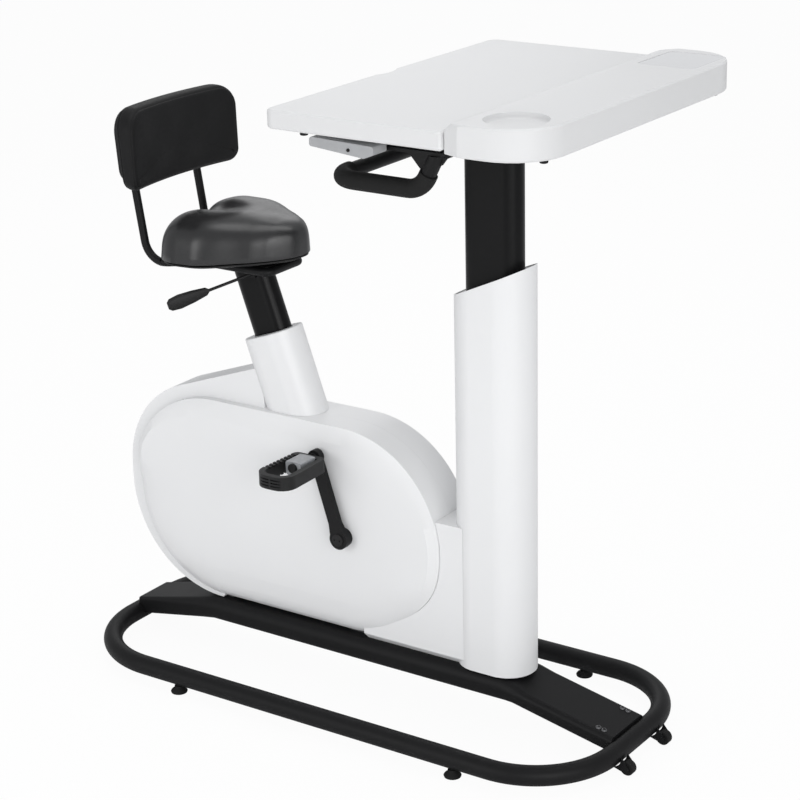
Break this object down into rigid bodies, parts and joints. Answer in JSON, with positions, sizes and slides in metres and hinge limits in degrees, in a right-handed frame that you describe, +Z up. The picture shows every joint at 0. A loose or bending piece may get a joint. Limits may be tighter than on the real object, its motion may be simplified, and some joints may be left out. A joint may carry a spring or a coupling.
{
  "type": "desk exercise bike",
  "caption": "Upright exercise bike with an enclosed belt drive, a sprung seat post with backrest, and a height-adjustable desktop on a post over a tube-loop base.",
  "frame": {"origin": "on the floor, at the centre of the bike's bounding box", "axes": "+X from the seat to the desk, +Y to the rider's left, +Z up"},
  "size_m": [1.2363, 0.744, 1.265],
  "materials": {
    "backrest_board": "black moulding",
    "backrest_frame": "satin black powder coat",
    "backrest_pad": "black textured cover over foam",
    "base_loop": "satin black powder coat",
    "bearing_left": "bright steel",
    "bearing_right": "bright steel",
    "brake_block": "black moulding",
    "column_guide": "dark structural steel",
    "column_head": "satin black powder coat",
    "console": "white moulding, fine texture",
    "crank_arm_left": "satin black powder coat",
    "crank_arm_right": "satin black powder coat",
    "crank_spindle": "bright steel",
    "desk_column": "smooth black paint",
    "desk_paddle": "grey moulding",
    "desk_spring_cylinder": "black paint",
    "desk_spring_rod": "bright steel",
    "desktop_board": "board with a smooth white coating",
    "display_panel": "smooth panel",
    "drive_belt": "ribbed belt",
    "drive_pulley": "black moulding",
    "flywheel": "turned iron",
    "flywheel_fork": "dark structural steel",
    "flywheel_shaft": "bright steel",
    "foot_front_left": "black rubber",
    "foot_front_right": "black rubber",
    "foot_rear_left": "black rubber",
    "foot_rear_right": "black rubber",
    "front_skirt": "white moulding, low gloss",
    "grip_left": "black rubber",
    "grip_right": "black rubber",
    "handlebar": "satin black powder coat",
    "pedal_cage_left": "black moulding",
    "pedal_cage_right": "black moulding",
    "pedal_core_left": "clear grey moulding",
    "pedal_core_right": "clear grey moulding",
    "pedal_spindle_left": "bright steel",
    "pedal_spindle_right": "bright steel",
    "post_cap": "white moulding, low gloss",
    "post_shroud": "white moulding, low gloss",
    "runner_left": "bright steel",
    "runner_right": "bright steel",
    "saddle_bracket": "satin black powder coat",
    "saddle_cushion": "black smooth cover over foam",
    "saddle_pan": "black moulding",
    "seat_lever": "black moulding",
    "seat_post": "smooth black paint",
    "seat_spring_cylinder": "black paint",
    "seat_spring_rod": "bright steel",
    "seat_tube": "dark structural steel",
    "shell_left": "white moulding, low gloss",
    "shell_right": "white moulding, low gloss",
    "slide_frame": "satin black powder coat",
    "spine": "satin black powder coat",
    "tower_cover": "white moulding, low gloss",
    "transport_wheel_left": "black rubber",
    "transport_wheel_right": "black rubber",
    "wheel_bracket_left": "satin black powder coat",
    "wheel_bracket_right": "satin black powder coat"
  },
  "bodies": {
    "base": {"base_loop": "base_loop", "spine": "spine", "wheel_bracket_right": "wheel_bracket_right", "wheel_bracket_left": "wheel_bracket_left", "shell_right": "shell_right", "shell_left": "shell_left", "tower_cover": "tower_cover", "front_skirt": "front_skirt", "post_shroud": "post_shroud", "post_cap": "post_cap", "column_guide": "column_guide", "seat_tube": "seat_tube", "flywheel_fork": "flywheel_fork", "brake_block": "brake_block", "bearing_right": "bearing_right", "bearing_left": "bearing_left", "drive_belt": "drive_belt", "seat_spring_cylinder": "seat_spring_cylinder", "desk_spring_cylinder": "desk_spring_cylinder"},
    "seat": {"seat_post": "seat_post", "seat_spring_rod": "seat_spring_rod", "saddle_bracket": "saddle_bracket", "saddle_pan": "saddle_pan", "saddle_cushion": "saddle_cushion", "backrest_frame": "backrest_frame", "backrest_board": "backrest_board", "backrest_pad": "backrest_pad"},
    "seat_release": {"seat_lever": "seat_lever"},
    "crankset": {"crank_spindle": "crank_spindle", "drive_pulley": "drive_pulley", "crank_arm_right": "crank_arm_right", "crank_arm_left": "crank_arm_left", "pedal_spindle_right": "pedal_spindle_right", "pedal_spindle_left": "pedal_spindle_left"},
    "pedal_right": {"pedal_cage_right": "pedal_cage_right", "pedal_core_right": "pedal_core_right"},
    "pedal_left": {"pedal_cage_left": "pedal_cage_left", "pedal_core_left": "pedal_core_left"},
    "flywheel_set": {"flywheel": "flywheel", "flywheel_shaft": "flywheel_shaft"},
    "desk_post": {"desk_column": "desk_column", "desk_spring_rod": "desk_spring_rod", "column_head": "column_head", "slide_frame": "slide_frame", "handlebar": "handlebar", "grip_right": "grip_right", "grip_left": "grip_left"},
    "desk_release": {"desk_paddle": "desk_paddle"},
    "desk_top": {"desktop_board": "desktop_board", "console": "console", "display_panel": "display_panel", "runner_right": "runner_right", "runner_left": "runner_left"},
    "wheel_right": {"transport_wheel_right": "transport_wheel_right"},
    "wheel_left": {"transport_wheel_left": "transport_wheel_left"},
    "foot_rr": {"foot_rear_right": "foot_rear_right"},
    "foot_rl": {"foot_rear_left": "foot_rear_left"},
    "foot_fr": {"foot_front_right": "foot_front_right"},
    "foot_fl": {"foot_front_left": "foot_front_left"}
  },
  "joints": [
    {"name": "seat_height", "type": "slide", "parent": "base", "child": "seat", "axis": [-0.3338, 0, 0.9426], "range_m": [-0.06, 0.12]},
    {"name": "seat_lever_pull", "type": "hinge", "parent": "seat", "child": "seat_release", "pos_m": [-0.265, -0.0314, 0.826], "axis": [-0.774, 0.6332, 0], "range_deg": [0, 12], "stiffness_Nm_per_rad": 2, "springref_deg": -11.46},
    {"name": "crank_spin", "type": "hinge", "parent": "base", "child": "crankset", "pos_m": [-0.0285, 0, 0.339], "axis": [0, 1, 0], "continuous": true},
    {"name": "pedal_right_spin", "type": "hinge", "parent": "crankset", "child": "pedal_right", "pos_m": [-0.07962, 0, 0.50113], "axis": [0, 1, 0], "continuous": true},
    {"name": "pedal_left_spin", "type": "hinge", "parent": "crankset", "child": "pedal_left", "pos_m": [0.02262, 0, 0.17687], "axis": [0, 1, 0], "continuous": true},
    {"name": "flywheel_spin", "type": "hinge", "parent": "base", "child": "flywheel_set", "pos_m": [-0.378, 0, 0.36], "axis": [0, 1, 0], "continuous": true},
    {"name": "desk_height", "type": "slide", "parent": "base", "child": "desk_post", "axis": [0, 0, 1], "range_m": [-0.16, 0.03]},
    {"name": "desktop_slide", "type": "slide", "parent": "desk_post", "child": "desk_top", "axis": [1, 0, 0], "range_m": [0, 0.15]},
    {"name": "desk_paddle_pull", "type": "hinge", "parent": "desk_post", "child": "desk_release", "pos_m": [0.211, -0.3175, 1.1933], "axis": [0, 1, 0], "range_deg": [0, 3], "stiffness_Nm_per_rad": 2, "springref_deg": -8.59},
    {"name": "wheel_right_spin", "type": "hinge", "parent": "base", "child": "wheel_right", "pos_m": [0.60431, -0.07, 0.01578], "axis": [0, 1, 0], "continuous": true},
    {"name": "wheel_left_spin", "type": "hinge", "parent": "base", "child": "wheel_left", "pos_m": [0.60431, 0.07, 0.01578], "axis": [0, 1, 0], "continuous": true},
    {"name": "foot_rear_right_turn", "type": "hinge", "parent": "base", "child": "foot_rr", "pos_m": [-0.323, -0.2455, 0], "axis": [0, 0, 1], "continuous": true},
    {"name": "foot_rear_left_turn", "type": "hinge", "parent": "base", "child": "foot_rl", "pos_m": [-0.323, 0.2455, 0], "axis": [0, 0, 1], "continuous": true},
    {"name": "foot_front_right_turn", "type": "hinge", "parent": "base", "child": "foot_fr", "pos_m": [0.331, -0.2455, 0], "axis": [0, 0, 1], "continuous": true},
    {"name": "foot_front_left_turn", "type": "hinge", "parent": "base", "child": "foot_fl", "pos_m": [0.331, 0.2455, 0], "axis": [0, 0, 1], "continuous": true}
  ],
  "couplings": [
    {"joint": "crank_spin", "follows": "flywheel_spin", "ratio": 0.31579}
  ]
}
